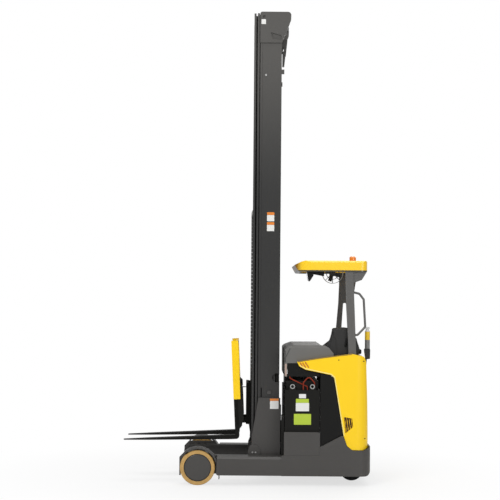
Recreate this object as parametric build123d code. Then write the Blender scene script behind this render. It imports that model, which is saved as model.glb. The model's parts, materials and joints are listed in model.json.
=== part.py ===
from build123d import *
import math
import os

# Reach truck with a three-stage mast, in millimetres.
# X runs from the fork tips to the rear, Y from the truck's left side to its right, Z up from the floor.

# Overall places along the truck
TRUCK_WIDTH = 1270
REAR_X = 1228
BAY_FRONT_X = 352
BAY_REAR_X = 728
LEG_TIP_X = -652
GROUND_CLEARANCE = 98

# Chassis
SKIRT_WALL = 22
LEG_TOP_Z = 283
LEG_PLATE_FRONT_X = -286
CHANNEL_DEPTH = 65
CHANNEL_WEB_Y = 505
CHANNEL_WALL = 15
REAR_CORNER_RADIUS = 120
FLOOR_Z = 420

# Wheels
LOAD_WHEEL_X = -469
LOAD_WHEEL_RADIUS = 171.5
LOAD_WHEEL_WIDTH = 100
LOAD_WHEEL_Y = 567
TREAD_INNER_RADIUS = 135
AXLE_RADIUS = 24
DRIVE_X = 1070
DRIVE_Y = -160
DRIVE_WHEEL_RADIUS = 120
DRIVE_WHEEL_WIDTH = 90

# Battery
BATTERY_LENGTH = 1216
BATTERY_X = (383, 724)
BATTERY_Z = (300, 1066)
BATTERY_RIM_Z = 938
LIFTING_EYES = (455, 650)

# Body and guard
BODY_Y = 625
BODY_WALL = 28
HOOD_Y = 590
VENT = ((958, 680, 5), (1040, 664, 8), (1050, 582, 8), (976, 518, 5))
VENT_SLAT_PITCH = 20
GUARD_TOP_Z = 2207
GUARD_BOTTOM_Z = 2099
ROOF_BAR_PITCH = 100
BEACON_PLACE = (1067, -200)
GUARD_X = (472, 1182)
GUARD_HALF_WIDTH = 600
FAN_CENTRE = (855, 2090)
FAN_RADIUS = 105
SEAT_Z = 900
SEAT_BACK_Z = 1050

# Mast rails, nested front to rear
OUTER_X = (118, 331)
OUTER_FLANGE_X = (118, 268)
MIDDLE_X = (90, 258)
INNER_X = (56, 214)
RAIL_FLANGE = 20
MAST_BOTTOM_Z = 240
OUTER_TOP_Z = 4640
MAST_Z = (100, 4700)
INNER_TOP_Z = 4672
SIDE_PLATE_Y = (390, 415)
HEAD_HOLE = (152, 4635)
HEAD_HOLE_RADIUS = 14
WEB_NOTCH = (304, 1043)
HOSE_SHEAVE = (346, 4535, 55)
ROLLER_Z = 191
ROLLER_RADIUS = 66
ROLLER_X = (112, 290)

# Lift hydraulics
LIFT_CYLINDER_Y = 349
LIFT_CYLINDER_X = 311
LIFT_BARREL_RADIUS = 19
LIFT_CYLINDER_Z = (305, 4250)
FREE_LIFT_X = 150
FREE_LIFT_RADIUS = 38
SHEAVE_X = 116
SHEAVE_Z = 2690
SHEAVE_RADIUS = 58
CHAIN_Y = 78
CHAIN_PITCH = 38
CHAIN_ANCHOR_Z = (935, 2330)

# Fork carriage and forks, drawn upright and then tipped forward about the tilt pin
TILT_PIN = (-30, 600)
FORWARD_TILT = 2.7
TILT_PIN_RADIUS = 14
TILT_EYE = (-46, 930)
TILT_ROD_Z = 928.5
FORK_Y = 240
FORK_WIDTH = 100
FORK_THICKNESS = 42
FORK_FACE_X = -112
FORK_TIP_X = -1236
FORK_TOP_Z = 465
SHANK_TOP_Z = 1058


def box(x0, x1, y0, y1, z0, z1):
    return Pos((x0 + x1) / 2, (y0 + y1) / 2, (z0 + z1) / 2) * Box(x1 - x0, y1 - y0, z1 - z0)


def outline(corners):
    # corners: (across, up, corner radius)
    face = make_face(Polyline(*[(a, b) for a, b, r in corners], close=True))
    for a, b, r in corners:
        if r:
            corner = face.vertices().sort_by_distance((a, b, 0))[0]
            face = fillet(corner, r)
    return face


def side_plate(corners, y0, y1):
    # corners: (x, z, corner radius)
    return extrude(Plane.XZ.offset(-y1) * outline(corners), amount=y1 - y0)


def flat_plate(corners, z0, z1):
    # corners: (x, y, corner radius)
    return extrude(Plane.XY.offset(z0) * outline(corners), amount=z1 - z0)


def cross_plate(corners, x0, x1):
    # corners: (y, z, corner radius)
    return extrude(Plane.YZ.offset(x0) * outline(corners), amount=x1 - x0)


def turned(profile, place):
    # profile: (radius, along the axis), turned about an axis along Y through place (x, z)
    face = Plane.XY * make_face(Polyline(*profile, close=True))
    return Pos(place[0], 0, place[1]) * revolve(face, Axis.Y)


def rod_x(y, z, radius, x0, x1):
    return Pos((x0 + x1) / 2, y, z) * Rot(0, 90, 0) * Cylinder(radius, x1 - x0)


def rod_y(x, z, radius, y0, y1):
    return Pos(x, (y0 + y1) / 2, z) * Rot(90, 0, 0) * Cylinder(radius, y1 - y0)


def rod_z(x, y, radius, z0, z1):
    return Pos(x, y, (z0 + z1) / 2) * Cylinder(radius, z1 - z0)


def both_sides(part):
    return part + mirror(part, Plane.XZ)


def tip_forward(part):
    x, z = TILT_PIN
    return Pos(x, 0, z) * Rot(0, -FORWARD_TILT, 0) * Pos(-x, 0, -z) * part


def tipped_point(point):
    angle = math.radians(FORWARD_TILT)
    dx, dz = point[0] - TILT_PIN[0], point[1] - TILT_PIN[1]
    x = TILT_PIN[0] + dx * math.cos(angle) - dz * math.sin(angle)
    z = TILT_PIN[1] + dx * math.sin(angle) + dz * math.cos(angle)
    return x, z


def write(name, part):
    part.label = name
    export_step(part, f"parts/{name}.step")


# Chassis

def plan_ring(rear_x, half_width, wall, radius, z0, z1, front_x=0):
    corners = (
        (front_x, -half_width, 0),
        (rear_x, -half_width, radius),
        (rear_x, half_width, radius),
        (front_x, half_width, 0),
    )
    inner = (
        (front_x - 1, wall - half_width, 0),
        (rear_x - wall, wall - half_width, radius - wall),
        (rear_x - wall, half_width - wall, radius - wall),
        (front_x - 1, half_width - wall, 0),
    )
    return flat_plate(corners, z0, z1) - flat_plate(inner, z0 - 1, z1 + 1)


def base_frame():
    half = TRUCK_WIDTH / 2
    skirt = plan_ring(REAR_X, half, SKIRT_WALL, REAR_CORNER_RADIUS, GROUND_CLEARANCE, 520, BAY_REAR_X)
    edge = (
        (BAY_REAR_X, GROUND_CLEARANCE, 0),
        (REAR_X, GROUND_CLEARANCE, 55),
        (REAR_X - 2, 424, 8),
        (1205, 371, 0),
        (1149, 350, 0),
        (1041, 354, 25),
        (990, 392, 0),
        (956, 492, 0),
        (936, 494, 0),
        (BAY_REAR_X, 384, 0),
    )
    skirt = skirt & side_plate(edge, -half, half)
    skirt -= box(BAY_REAR_X - 1, 1000, 0, half + 1, FLOOR_Z - 15, 600)
    rail = box(BAY_FRONT_X, BAY_REAR_X + SKIRT_WALL, -half, -CHANNEL_WEB_Y, GROUND_CLEARANCE, 298)
    bay_floor = box(BAY_FRONT_X, BAY_REAR_X + SKIRT_WALL, -CHANNEL_WEB_Y, CHANNEL_WEB_Y, 280, 298)
    cross_wall = box(BAY_REAR_X, BAY_REAR_X + SKIRT_WALL, 1 - half, half - 1, GROUND_CLEARANCE, 384)
    cross_wall -= rod_x(120, 165, 38, 700, 800)
    bridge = plan_fill() & box(BAY_REAR_X + SKIRT_WALL, REAR_X, -half, half, 300, 318)
    bridge -= rod_z(DRIVE_X, DRIVE_Y, 116, 290, 360)
    return skirt + both_sides(rail) + bay_floor + cross_wall + bridge


def plan_fill():
    half = TRUCK_WIDTH / 2 - SKIRT_WALL
    corners = (
        (700, -half, 0),
        (REAR_X - SKIRT_WALL, -half, 98),
        (REAR_X - SKIRT_WALL, half, 98),
        (700, half, 0),
    )
    return flat_plate(corners, 0, 1000)


def straddle_leg():
    half = TRUCK_WIDTH / 2
    z0, z1 = GROUND_CLEARANCE + 2, LEG_TOP_Z
    inside = -CHANNEL_WEB_Y + CHANNEL_DEPTH
    web = side_plate(
        (
            (LEG_TIP_X, 83, 0),
            (LEG_TIP_X + 14, 83, 0),
            (LEG_TIP_X + 14, z0, 0),
            (BAY_FRONT_X, z0, 0),
            (BAY_FRONT_X, z1, 0),
            (-300, z1, 0),
            (-348, 314, 12),
            (-603, 314, 12),
            (LEG_TIP_X, 262, 6),
        ),
        -CHANNEL_WEB_Y,
        CHANNEL_WALL - CHANNEL_WEB_Y,
    )
    for x in (-495, -431):
        web -= rod_y(x, 282, 11, -CHANNEL_WEB_Y - 1, CHANNEL_WALL - CHANNEL_WEB_Y + 1)
    lower = box(LEG_TIP_X, BAY_FRONT_X, CHANNEL_WALL - CHANNEL_WEB_Y, inside, z0, z0 + 20)
    upper = box(LEG_TIP_X + 40, BAY_FRONT_X, CHANNEL_WALL - CHANNEL_WEB_Y, inside, z1 - 20, z1)
    stop = box(LEG_TIP_X, LEG_TIP_X + 15, CHANNEL_WALL - CHANNEL_WEB_Y, inside, z0 + 20, z1 - 60)
    beam = cross_plate(
        (
            (-half, z0, 0),
            (-CHANNEL_WEB_Y, z0, 0),
            (-CHANNEL_WEB_Y, z1, 0),
            (22 - half, z1, 0),
            (-half, z1 - 22, 0),
        ),
        LEG_PLATE_FRONT_X,
        BAY_FRONT_X,
    )
    beam &= side_plate(((LEG_PLATE_FRONT_X, z0, 18), (BAY_FRONT_X, z0, 0), (BAY_FRONT_X, z1, 0),
                        (LEG_PLATE_FRONT_X + 6, z1, 6)), -half, -CHANNEL_WEB_Y)
    x = LEG_PLATE_FRONT_X + 24
    deflector = box(x, x + 8, -half + 10, -CHANNEL_WEB_Y - 12, 62, z0 + 5)
    return web + lower + upper + stop + beam + deflector


def load_axle():
    outer = -LOAD_WHEEL_Y - LOAD_WHEEL_WIDTH / 2
    axle = rod_y(LOAD_WHEEL_X, LOAD_WHEEL_RADIUS, AXLE_RADIUS, outer + 27, -CHANNEL_WEB_Y)
    return axle + rod_y(LOAD_WHEEL_X, LOAD_WHEEL_RADIUS, 40, -CHANNEL_WEB_Y - 7, -CHANNEL_WEB_Y)


def load_wheel():
    half = LOAD_WHEEL_WIDTH / 2
    inner, outer, bevel = TREAD_INNER_RADIUS, LOAD_WHEEL_RADIUS, 6
    profile = (
        (inner, -half),
        (outer - bevel, -half),
        (outer, bevel - half),
        (outer, half - bevel),
        (outer - bevel, half),
        (inner, half),
    )
    return Pos(0, -LOAD_WHEEL_Y, 0) * turned(profile, (LOAD_WHEEL_X, LOAD_WHEEL_RADIUS))


def load_wheel_hub():
    # flat cover closing the axle's end, with a groove between it and the tread
    half = LOAD_WHEEL_WIDTH / 2
    rim, bore = TREAD_INNER_RADIUS, AXLE_RADIUS + 0.5
    profile = (
        (0, 2 - half),
        (rim - 13, 2 - half),
        (rim - 8, 5 - half),
        (rim - 8, 12 - half),
        (rim, 12 - half),
        (rim, half - 4),
        (bore, half - 4),
        (bore, 22 - half),
        (0, 22 - half),
    )
    return Pos(0, -LOAD_WHEEL_Y, 0) * turned(profile, (LOAD_WHEEL_X, LOAD_WHEEL_RADIUS))


def wheel_guard():
    inner = LOAD_WHEEL_RADIUS + 14
    outer = inner + 16
    y0, y1 = -TRUCK_WIDTH / 2 + 4, -CHANNEL_WEB_Y
    ring = rod_y(LOAD_WHEEL_X, LOAD_WHEEL_RADIUS, outer, y0, y1)
    ring -= rod_y(LOAD_WHEEL_X, LOAD_WHEEL_RADIUS, inner, y0 - 1, y1 + 1)
    keep = box(LOAD_WHEEL_X - 130, LEG_PLATE_FRONT_X - 1, y0, y1, LOAD_WHEEL_RADIUS + 50, 500)
    return ring & keep


def drive_unit():
    plate = rod_z(DRIVE_X, DRIVE_Y, 126, 320, 338)
    neck = rod_z(DRIVE_X, DRIVE_Y, 110, 258, 320)
    motor = rod_z(DRIVE_X, DRIVE_Y, 80, 338, 640)
    y = DRIVE_Y + DRIVE_WHEEL_WIDTH / 2 + 8
    gearbox = side_plate(
        (
            (DRIVE_X - 55, 70, 50),
            (DRIVE_X + 55, 70, 50),
            (DRIVE_X + 55, 260, 0),
            (DRIVE_X - 55, 260, 0),
        ),
        y,
        y + 45,
    )
    axle = rod_y(DRIVE_X, DRIVE_WHEEL_RADIUS, 25, DRIVE_Y - DRIVE_WHEEL_WIDTH / 2 - 4, y)
    return plate + neck + motor + gearbox + axle


def drive_wheel():
    half = DRIVE_WHEEL_WIDTH / 2
    r, bevel, bore = DRIVE_WHEEL_RADIUS, 7, 26
    profile = (
        (bore, 6 - half),
        (62, 6 - half),
        (70, -half),
        (r - bevel, -half),
        (r, bevel - half),
        (r, half - bevel),
        (r - bevel, half),
        (70, half),
        (62, half - 6),
        (bore, half - 6),
    )
    return Pos(0, DRIVE_Y, 0) * turned(profile, (DRIVE_X, r))


def reach_barrel():
    barrel = rod_x(120, 165, 36, 372, 1000) - rod_x(120, 165, 25, 371, 985)
    gland = rod_x(120, 165, 44, 372, 400) - rod_x(120, 165, 16.5, 371, 401)
    collar = rod_x(120, 165, 60, 718, BAY_REAR_X) - rod_x(120, 165, 36, 717, 729)
    return barrel + gland + collar


# Battery bay

def battery():
    # steel tray with lifting eyes on its rim, and the block of cells standing inside
    x0, x1 = BATTERY_X
    z0, z1 = BATTERY_Z
    half = BATTERY_LENGTH / 2
    tray = box(x0, x1, -half, half, z0, BATTERY_RIM_Z)
    tray -= box(x0 + 10, x1 - 10, 10 - half, half - 10, BATTERY_RIM_Z - 30, BATTERY_RIM_Z + 1)
    cells = box(x0 + 14, x1 - 14, 46 - half, half - 46, BATTERY_RIM_Z - 30, z1 - 40)
    eyes = Part()
    for x in LIFTING_EYES:
        ear = side_plate(
            (
                (x - 34, BATTERY_RIM_Z, 0),
                (x + 34, BATTERY_RIM_Z, 0),
                (x + 22, 1000, 20),
                (x - 22, 1000, 20),
            ),
            -half,
            10 - half,
        )
        eyes += ear - rod_y(x, 972, 14, -half - 1, 11 - half)
    return tray + cells + both_sides(eyes)


def battery_leads():
    # one lead slanting down from under the cover, and one looped between two cells
    slanted = ((418, 1110), (432, 1050), (604, 968), (604, BATTERY_RIM_Z - 30))
    looped = ((562, BATTERY_RIM_Z - 30), (562, 1010), (617, 1072), (672, 1010), (672, BATTERY_RIM_Z - 30))
    leads = Part()
    for route, y, bend in ((slanted, -570, 16), (looped, -584, 26)):
        path = FilletPolyline(*[(x, y, z) for x, z in route], radius=bend)
        leads += sweep(Plane(origin=path @ 0, z_dir=path % 0) * Circle(6), path=path)
    return leads


def battery_stops():
    post = box(348, 374, -605, -560, 298, 700)
    return both_sides(chamfer(post.edges().filter_by(Axis.Y).sort_by(Axis.Z)[-2:], 8))


def battery_plate():
    half = TRUCK_WIDTH / 2
    return side_plate(((375, 299, 0), (BAY_REAR_X - 1, 299, 0), (BAY_REAR_X - 1, 528, 26), (375, 528, 8)),
                      1 - half, -BATTERY_LENGTH / 2 - 3)


def battery_cover():
    # lid over the battery bay: two side skirts under a top plate
    skirt = side_plate(
        (
            (404, 1070, 0),
            (726, 1070, 0),
            (726, 1200, 0),
            (404, 1200, 0),
        ),
        -HOOD_Y,
        10 - HOOD_Y,
    )
    top = box(404, 726, 10 - HOOD_Y, HOOD_Y - 10, 1168, 1190)
    return both_sides(skirt) + top


# Body

def body_plan(rear_x, half_width, radius):
    corners = (
        (400, -half_width, 0),
        (rear_x, -half_width, radius),
        (rear_x, half_width, radius),
        (400, half_width, 0),
    )
    return flat_plate(corners, 300, 1330)


def body_shell():
    edge = (
        (497, 1216, 0),
        (520, 1172, 20),
        (580, 1140, 40),
        (830, 1089, 22),
        (862, 1062, 0),
        (958, 493, 0),
        (992, 396, 20),
        (1041, 357, 20),
        (1149, 353, 0),
        (1203, 374, 8),
        (1203, 456, 0),
        (1192, 847, 0),
        (1177, 1218, 18),
        (1154, 1270, 30),
        (1034, 1296, 0),
        (917, 1281, 0),
        (721, 1254, 0),
    )
    inner_edge = (
        (400, 300, 0),
        (1175, 300, 0),
        (1175, 456, 0),
        (1164, 847, 0),
        (1149, 1218, 0),
        (1120, 1330, 0),
        (400, 1330, 0),
    )
    shell = body_plan(1203, BODY_Y, REAR_CORNER_RADIUS) & side_plate(edge, -BODY_Y, BODY_Y)
    hollow = body_plan(1175, BODY_Y - BODY_WALL, REAR_CORNER_RADIUS - BODY_WALL)
    shell -= hollow & side_plate(inner_edge, -BODY_Y, BODY_Y)
    shell -= side_plate(VENT, -BODY_Y - 1, BODY_WALL - BODY_Y + 1)
    return shell - box(390, 1045, 0, BODY_Y + 1, 290, 1340)


def vent_grille():
    # slanted slats across the vent, set back from the panel's face
    y = -BODY_Y
    opening = side_plate(VENT, y + 6, y + BODY_WALL)
    slats = Part()
    for x in range(948, 1070, VENT_SLAT_PITCH):
        slats += Pos(x, y + 15, 600) * Rot(0, 10, 0) * Box(9, 16, 260)
    frame = side_plate(VENT, y + 19, y + BODY_WALL)
    return (slats & opening) + frame


def side_panel_left():
    y = -BODY_Y + 3
    return side_plate(
        (
            (BAY_REAR_X + 1, 388, 0),
            (936, 498, 0),
            (953, 497, 0),
            (857, 1060, 0),
            (829, 1084, 20),
            (BAY_REAR_X + 1, 1103, 0),
        ),
        y,
        y + 20,
    )


def console_hood():
    top = (
        (378, 1066, 0),
        (400, 1066, 0),
        (402, 1200, 0),
        (BAY_REAR_X, 1200, 0),
        (BAY_REAR_X, 1180, 0),
        (857, 1180, 0),
        (857, 1296, 18),
        (812, 1352, 30),
        (768, 1376, 30),
        (468, 1374, 40),
        (400, 1348, 20),
        (378, 1327, 12),
    )
    hood = side_plate(top, -HOOD_Y, HOOD_Y)
    hood &= cross_plate(
        (
            (-HOOD_Y, 1000, 0),
            (HOOD_Y, 1000, 0),
            (HOOD_Y, 1350, 20),
            (HOOD_Y - 26, 1376, 20),
            (26 - HOOD_Y, 1376, 20),
            (-HOOD_Y, 1350, 20),
        ),
        370,
        870,
    )
    return hood - box(BAY_REAR_X + 10, 860, -560, HOOD_Y + 1, 1100, 1400)


# Operator's place

def floor_deck():
    x0 = BAY_REAR_X + SKIRT_WALL
    corners = ((x0, 2, 0), (1160, 2, 0), (1160, 585, 92), (x0, 585, 0))
    return flat_plate(corners, FLOOR_Z - 14, FLOOR_Z)


def seat_box():
    # stiff front and side walls under the lid, and two posts that hold the backrest
    front = box(800, 812, -590, 0, 318, SEAT_Z)
    right = box(812, 1150, -12, 0, 318, SEAT_Z)
    lid = flat_plate(
        (
            (812, -590, 0),
            (1150, -590, 80),
            (1150, -12, 0),
            (812, -12, 0),
        ),
        SEAT_Z - 12,
        SEAT_Z,
    )
    posts = [box(x - 16, x + 16, -516, -488, SEAT_Z, SEAT_BACK_Z) for x in (880, 1030)]
    return front + right + lid + posts


def seat_pan():
    cushion = flat_plate(
        (
            (790, -455, 60),
            (1140, -455, 60),
            (1140, -20, 80),
            (790, -20, 80),
        ),
        SEAT_Z,
        SEAT_Z + 140,
    )
    return chamfer(cushion.faces().sort_by(Axis.Z)[-1].edges(), 24)


def seat_back():
    z = SEAT_BACK_Z
    return side_plate(((775, z, 40), (1128, z, 40), (1128, 1290, 20), (1150, 1335, 15), (1107, 1462, 30),
                       (1000, 1578, 40), (838, 1570, 30), (766, 1368, 60)), -540, -462)


def armrest():
    # pad with four finger levers at its end
    pad = side_plate(((1092, 1288, 14), (1140, 1288, 14), (1140, 1336, 14), (1092, 1336, 14)), -462, -150)
    for x in range(1099, 1136, 11):
        pad += box(x - 3, x + 3, -190, -182, 1330, 1366)
    return pad


def pedals():
    plate = box(800, 980, 470, 560, FLOOR_Z, FLOOR_Z + 12)
    pads = [box(x, x + 60, 480, 550, FLOOR_Z + 30, FLOOR_Z + 42) for x in (812, 908)]
    stems = [box(x + 22, x + 38, 500, 516, FLOOR_Z + 12, FLOOR_Z + 30) for x in (812, 908)]
    return plate + pads + stems


def steering_console():
    corners = (
        (739, 860, 0),
        (760, 860, 0),
        (905, 1080, 30),
        (905, 1140, 20),
        (760, 1200, 20),
        (739, 1200, 0),
    )
    desk = side_plate(corners, 170, 350)
    display = Pos(775, 260, 1215) * Rot(0, 25, 0) * Box(16, 130, 90)
    return desk + display


def steering_wheel():
    tilt = Pos(888, 260, 1240) * Rot(0, 14, 0)
    rim = tilt * revolve(Plane.XZ * Pos(120, 0) * RegularPolygon(12, 8), Axis.Z)
    hub = tilt * Cylinder(30, 20)
    spokes = [tilt * Rot(0, 0, a) * Pos(66, 0, 0) * Box(90, 16, 8) for a in (0, 120, 240)]
    column = tilt * Pos(0, 0, -50) * Cylinder(16, 100)
    wheel = rim + hub + spokes + column
    return wheel - steering_console()


# Overhead guard

def guard_roof():
    x0, x1 = GUARD_X
    w = GUARD_HALF_WIDTH
    z0, z1 = GUARD_BOTTOM_Z, GUARD_TOP_Z
    plan = ((x0, -w, 180), (x1, -w, 60), (x1, w, 60), (x0, w, 180))
    inner = ((x0 + 70, 75 - w, 120), (x1 - 70, 75 - w, 30), (x1 - 70, w - 75, 30), (x0 + 70, w - 75, 120))
    profile = (
        (x0, z1 - 40, 6),
        (x0 + 66, z1 - 9, 30),
        (x0 + 100, z1, 0),
        (x1 - 12, z1, 0),
        (x1, z1 - 12, 0),
        (x1, z0, 8),
        (x0 + 40, z0, 20),
    )
    section = (
        (-w, z0, 0),
        (w, z0, 0),
        (w, z1 - 16, 0),
        (w - 16, z1, 0),
        (16 - w, z1, 0),
        (-w, z1 - 16, 0),
    )
    frame = flat_plate(plan, z0, z1) - flat_plate(inner, z0 - 1, z1 + 1)
    frame &= side_plate(profile, -w, w)
    frame &= cross_plate(section, x0, x1)
    bars = [box(x0 + 40, x1 - 40, y - 9, y + 9, z1 - 60, z1 - 20) for y in range(-400, 401, ROOF_BAR_PITCH)]
    x, y = BEACON_PLACE
    return frame + bars + box(x - 42, x + 42, y - 42, y + 42, z1 - 20, z1)


def guard_column_left():
    corners = ((966, 2099, 0), (1020, 900, 0), (1094, 900, 0), (1043, 2099, 0))
    column = side_plate(corners, -594, -552)
    gusset = side_plate(((1036, 2099, 0), (1176, 2099, 0), (1128, 2020, 0), (1046, 1990, 0)), -580, -566)
    return column + gusset


def guard_column_right():
    # two legs that join below the roof, the front one bent forward to the console hood
    hood_x = BAY_REAR_X + 10
    corners = (
        (984, 2099, 0),
        (984, 1982, 60),
        (977, 1789, 0),
        (948, 1440, 80),
        (hood_x, 1275, 0),
        (hood_x, 1205, 0),
        (1004, 1410, 80),
        (1028, 1789, 12),
        (1060, 1789, 12),
        (1077, 1500, 0),
        (1077, FLOOR_Z, 0),
        (1128, FLOOR_Z, 0),
        (1128, 1800, 100),
        (1162, 2020, 40),
        (1180, 2099, 0),
    )
    return side_plate(corners, 545, 585)


def grab_rail():
    y = -573
    path = FilletPolyline((1050, y, 1898), (1105, y, 1885), (1148, y, 1830), (1165, y, 1560),
                          (1090, y, 1480), (1060, y, 1480), radius=22)
    rail = sweep(Plane(origin=path @ 0, z_dir=path % 0) * Circle(11), path=path)
    return rail - guard_column_left()


def work_lamp():
    z = GUARD_BOTTOM_Z
    housing = side_plate(
        (
            (590, z, 0),
            (655, z, 0),
            (655, 2060, 12),
            (620, 2004, 8),
            (606, 2004, 8),
        ),
        -560,
        -490,
    )
    arm = side_plate(((650, z, 0), (760, z, 0), (760, 2054, 0), (650, 2074, 0)), -535, -515)
    return housing + arm


def fan():
    # wire cage of rings and spokes round a motor with four blades, hung from a roof bar by its bracket
    x, z = FAN_CENTRE
    r = FAN_RADIUS
    arm = box(x - 30, x + 30, -312, -300, z - 30, GUARD_TOP_Z - 60)
    cage = rod_y(x, z, 28, -378, -304)
    for y in (-380, -330):
        cage += rod_y(x, z, r, y, y + 5) - rod_y(x, z, r - 5, y - 1, y + 6)
        cage += rod_y(x, z, 64, y, y + 5) - rod_y(x, z, 60, y - 1, y + 6)
    for turn in range(0, 360, 45):
        spokes = box(20, r - 3, -379, -376, -2, 2) + box(20, r - 3, -329, -326, -2, 2)
        spokes += box(r - 4, r - 1, -378, -327, -3, 3)
        cage += Pos(x, 0, z) * Rot(0, turn, 0) * spokes
    blade = Pos(54, 0, 0) * Rot(32, 0, 0) * Box(64, 4, 40)
    blades = [Pos(x, -352, z) * Rot(0, turn, 0) * blade for turn in (20, 110, 200, 290)]
    return cage + arm + blades


def beacon():
    # domed lamp on a plain round base
    base = rod_z(*BEACON_PLACE, 38, GUARD_TOP_Z, GUARD_TOP_Z + 12)
    dome = rod_z(*BEACON_PLACE, 33, GUARD_TOP_Z + 12, GUARD_TOP_Z + 55)
    return base + chamfer(dome.edges().filter_by(GeomType.CIRCLE).sort_by(Axis.Z)[-1], 10)


def extinguisher():
    # small bottle in a bracket on the rear edge of the body
    x, y = 1203, -400
    bottle = rod_z(x, y, 25, 1290, 1524)
    bottle = chamfer(bottle.edges().filter_by(GeomType.CIRCLE).sort_by(Axis.Z)[-1], 8)
    cap = rod_z(x, y, 17, 1524, 1540) + box(x - 24, x + 22, y - 8, y + 8, 1540, 1556)
    holder = side_plate(
        (
            (1182, 1130, 0),
            (1189, 1130, 0),
            (1196, 1236, 0),
            (1228, 1240, 8),
            (1230, 1340, 10),
            (1172, 1340, 10),
            (1172, 1320, 0),
            (1182, 1250, 0),
        ),
        y - 29,
        y + 29,
    )
    holder -= rod_z(x, y, 25.3, 1262, 1400)
    return bottle + cap + holder


# Reach carriage and fixed mast

def channel(web_x, web_y, flanges):
    # flanges: (front face X, furthest out Y, furthest in Y)
    column = box(*web_x, -web_y[1], -web_y[0], *MAST_Z)
    for x, out_y, in_y in flanges:
        column += box(x, x + RAIL_FLANGE, -out_y, -in_y, *MAST_Z)
    return both_sides(column)


def outer_mast():
    rails = channel(OUTER_X, (374, 390), [(x, 390, 330) for x in OUTER_FLANGE_X])
    rails &= box(0, 500, -500, 500, 130, OUTER_TOP_Z)
    lip = box(OUTER_X[0], OUTER_X[0] + RAIL_FLANGE, -394, -390, 855, 4370)
    stop_block = box(OUTER_X[1], OUTER_X[1] + 26, -388, -370, 4068, 4112)
    rails += both_sides(lip + stop_block)
    rails -= both_sides(rod_y(*WEB_NOTCH, 44, -391, -373) + box(146, 157, -391, -373, 852, 944))
    x1 = OUTER_FLANGE_X[1] + RAIL_FLANGE
    for z0, z1 in ((700, 900), (1900, 2000), (3000, 3100), (4440, OUTER_TOP_Z)):
        rails += box(OUTER_FLANGE_X[1], x1, -331, 331, z0, z1)
    return rails


def middle_mast():
    x0, x1 = MIDDLE_X
    rails = channel(MIDDLE_X, (306, 320), ((x0, 385, 262), (x1 - RAIL_FLANGE, 366, 262)))
    rails &= box(0, 500, -500, 500, MAST_BOTTOM_Z, INNER_TOP_Z)
    for z0, z1 in ((MAST_BOTTOM_Z, 340), (1500, 1580), (2900, 2980), (4560, INNER_TOP_Z)):
        rails += box(x1 - 34, x1, -263, 263, z0, z1)
    return rails


def inner_mast():
    x0, x1 = INNER_X
    rails = channel(INNER_X, (240, 254), ((x0, 372, 196), (x1 - RAIL_FLANGE, 298, 196)))
    rails &= box(0, 500, -500, 500, MAST_BOTTOM_Z, INNER_TOP_Z)
    for z0, z1 in ((MAST_BOTTOM_Z, 330), (1700, 1780), (4500, 4600)):
        rails += box(x1 - 12, x1, -197, 197, z0, z1)
    rails += box(x0 + 40, x1 - 12, -55, 55, MAST_BOTTOM_Z, MAST_BOTTOM_Z + 30)
    return rails


def reach_carriage():
    # side plates of the mast foot, with the bolted roller plates, joined by the foot
    y0, y1 = SIDE_PLATE_Y
    plate = side_plate(
        (
            (124, 844, 0),
            (60, 454, 20),
            (60, 118, 30),
            (342, 118, 30),
            (342, 844, 0),
        ),
        -y1,
        -y0,
    )
    roller_plate = side_plate(
        (
            (24, 262, 0),
            (144, 262, 0),
            (144, 322, 0),
            (120, 382, 40),
            (48, 382, 40),
            (24, 322, 0),
        ),
        -y1 - 12,
        -y1,
    )
    sides = both_sides(plate + roller_plate)
    foot = box(142, 331, -329, 329, 118, 180) + box(142, 331, -y0, y0, 118, 130)
    return sides + foot


def reach_rollers():
    y = SIDE_PLATE_Y[1]
    pair = Part()
    for x in ROLLER_X:
        pair += rod_y(x, ROLLER_Z, ROLLER_RADIUS, -485, -450)
        pair += rod_y(x, ROLLER_Z, 28, -450, -y)
    return both_sides(pair)


def reach_rod():
    return rod_x(120, 165, 16, 331, 970)


def mast_head():
    # side plates with a lifting eye and a window, joined by the axle of the hose sheaves
    shape = (
        (114, 4376, 0),
        (331, 4376, 0),
        (392, 4525, 0),
        (420, 4600, 20),
        (424, 4684, 34),
        (114, 4684, 20),
    )
    plate = side_plate(shape, -404, -390)
    plate -= rod_y(*HEAD_HOLE, HEAD_HOLE_RADIUS, -405, -389)
    plate -= side_plate(((219, 4479, 0), (325, 4449, 8), (326, 4405, 8), (241, 4414, 8)), -405, -389)
    x, z, radius = HOSE_SHEAVE
    head = both_sides(plate) + rod_y(x, z, 12, -392, 392)
    for y in (-290, 290):
        head += turned(
            (
                (12, y - 18),
                (radius, y - 18),
                (radius - 9, y),
                (radius, y + 18),
                (12, y + 18),
            ),
            (x, z),
        )
    return head + hose_guides()


def hose_guides():
    # tapered sleeves that hold the hoses under their sheaves
    sleeve = side_plate(((352, 4258, 4), (372, 4258, 4), (388, 4420, 4), (352, 4420, 4)), -306, -274)
    arm = box(288, 352, -300, -280, 4396, 4416)
    stand = box(288, 300, -306, -274, 4396, 4470)
    return both_sides(sleeve + arm + stand)


def lift_barrels():
    x, y = LIFT_CYLINDER_X, -LIFT_CYLINDER_Y
    z0, z1 = LIFT_CYLINDER_Z
    tube = rod_z(x, y, LIFT_BARREL_RADIUS, z0, z1) - rod_z(x, y, 14, z0 + 15, z1 + 1)
    return both_sides(tube)


def lift_rods():
    x, y = LIFT_CYLINDER_X, -LIFT_CYLINDER_Y
    rod = rod_z(x, y, 12, LIFT_CYLINDER_Z[0] + 20, OUTER_TOP_Z + 5)
    head = box(MIDDLE_X[1], x + 15, y - 25, y + 25, OUTER_TOP_Z + 5, INNER_TOP_Z)
    return both_sides(rod + head)


# Fork carriage

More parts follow.
